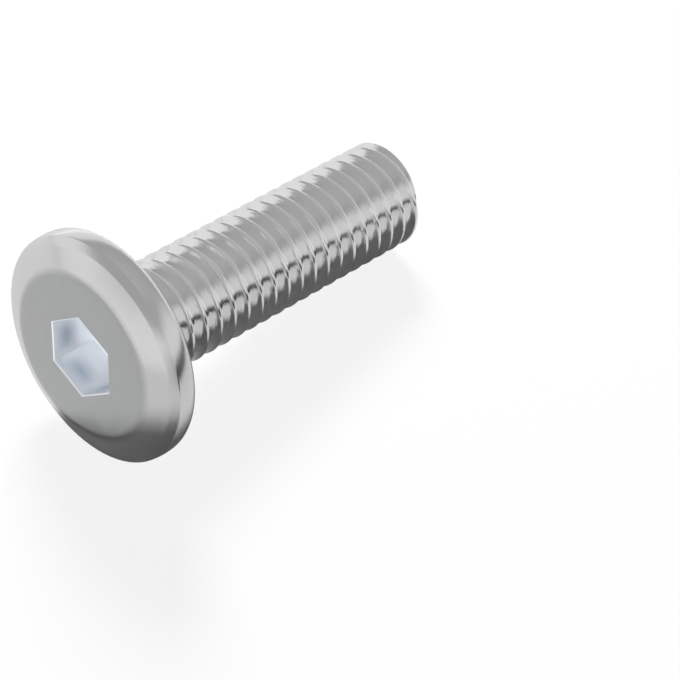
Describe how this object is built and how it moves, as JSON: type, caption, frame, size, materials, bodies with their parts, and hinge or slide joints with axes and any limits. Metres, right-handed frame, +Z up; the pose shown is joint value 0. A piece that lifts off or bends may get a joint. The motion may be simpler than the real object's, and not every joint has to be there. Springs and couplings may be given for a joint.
{
  "type": "socket screw",
  "caption": "Zinc-plated steel machine screw with a wide flat bevelled head, a hexagon socket and a full-length coarse thread, cut flat at the tip.",
  "frame": {"origin": "middle of the footprint on the floor, with the screw lying on its rim and its last thread", "axes": "+Z up, +X along the screw from head to tip; the axis slopes down towards the tip by 9.07 degrees"},
  "size_m": [0.0234, 0.0126, 0.0125],
  "materials": {
    "zinc_plated_steel": "bright zinc plate, satin with fine handling scratches"
  },
  "bodies": {
    "root": {"connector_screw": "zinc_plated_steel"}
  },
  "joints": []
}
